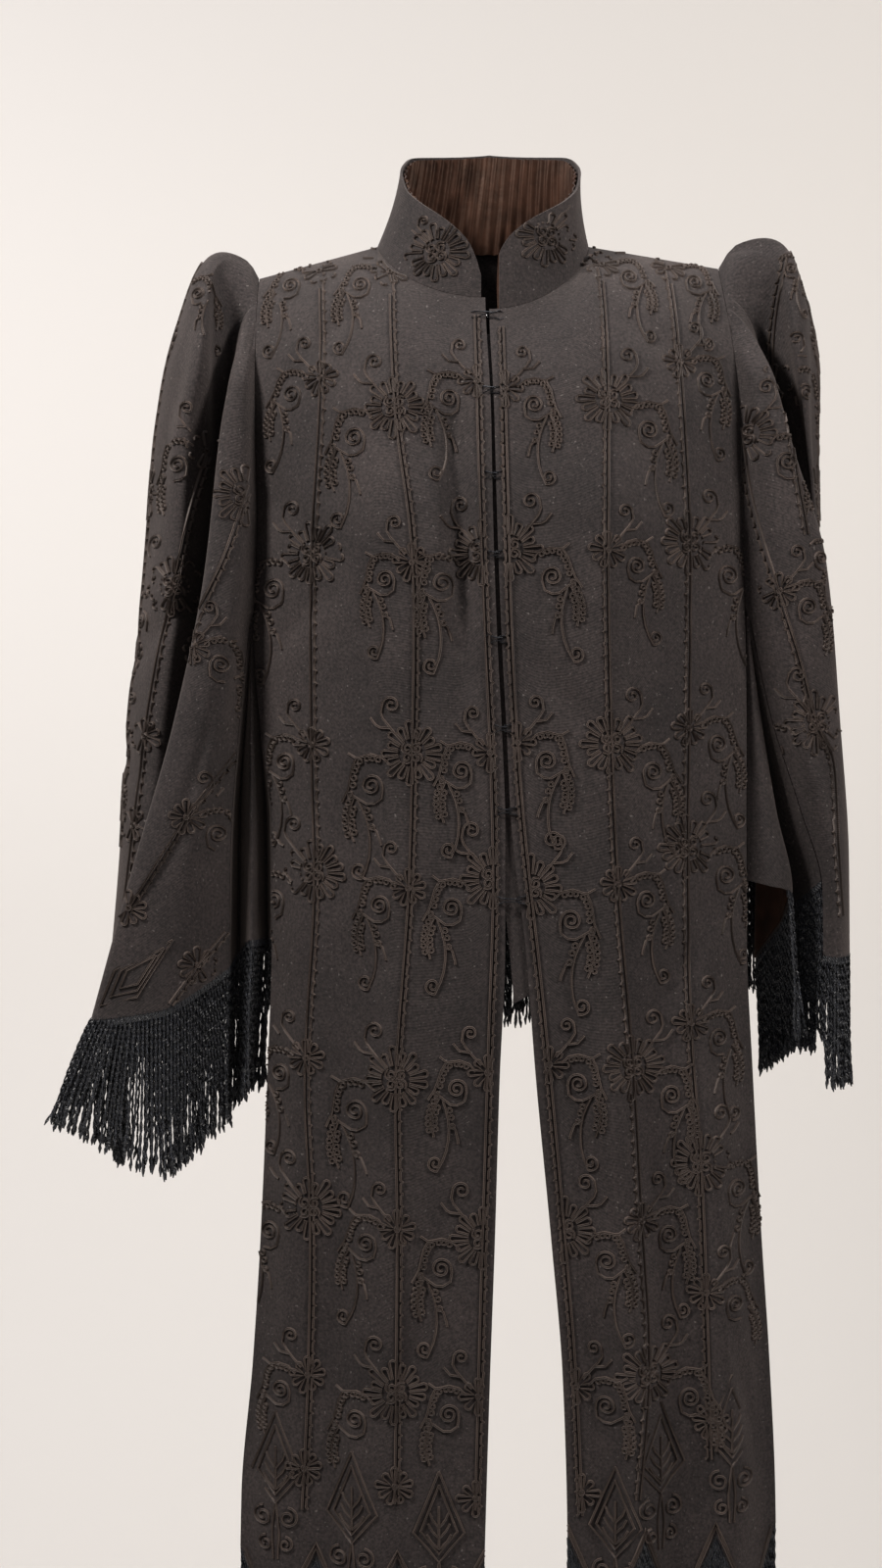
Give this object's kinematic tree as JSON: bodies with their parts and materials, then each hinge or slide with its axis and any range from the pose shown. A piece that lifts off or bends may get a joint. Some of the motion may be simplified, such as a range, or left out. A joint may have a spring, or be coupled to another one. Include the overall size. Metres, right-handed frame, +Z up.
{
  "type": "victorian cape",
  "caption": "Late Victorian dolman cape in dark brown wool: long stole fronts, cape sleeves, high ruched-lined collar, corded flower embroidery and silk fringe",
  "frame": {"origin": "the middle of the neck, level with the side neck points, where the wearer's shoulders carry the cape", "axes": "+Z up the wearer, the front faces -Y, +X towards the wearer's left"},
  "size_m": [0.6094, 0.2368, 1.2833],
  "materials": {
    "wool_cloth": "napped black-brown wool broadcloth",
    "lining_silk": "soft brown satin, finely gathered",
    "fringe_silk": "twisted black silk with a low sheen",
    "hook_wire": "black japanned wire"
  },
  "bodies": {
    "root": {"front_right": "wool_cloth", "front_left": "wool_cloth", "back": "wool_cloth", "sleeve_right": "wool_cloth", "sleeve_left": "wool_cloth", "gusset_right": "wool_cloth", "gusset_left": "wool_cloth", "collar": "wool_cloth", "collar_lining": "lining_silk", "fly_guard": "wool_cloth", "fringe_front_right": "fringe_silk", "fringe_front_left": "fringe_silk", "fringe_back": "fringe_silk", "fringe_sleeve_right": "fringe_silk", "fringe_sleeve_left": "fringe_silk", "fringe_gusset_right": "fringe_silk", "fringe_gusset_left": "fringe_silk", "hook_1": "hook_wire", "hook_2": "hook_wire", "hook_3": "hook_wire", "hook_4": "hook_wire", "hook_5": "hook_wire", "hook_6": "hook_wire", "hook_7": "hook_wire", "hook_8": "hook_wire", "eye_1": "hook_wire", "eye_2": "hook_wire", "eye_3": "hook_wire", "eye_4": "hook_wire", "eye_5": "hook_wire", "eye_6": "hook_wire", "eye_7": "hook_wire", "eye_8": "hook_wire"}
  },
  "joints": []
}
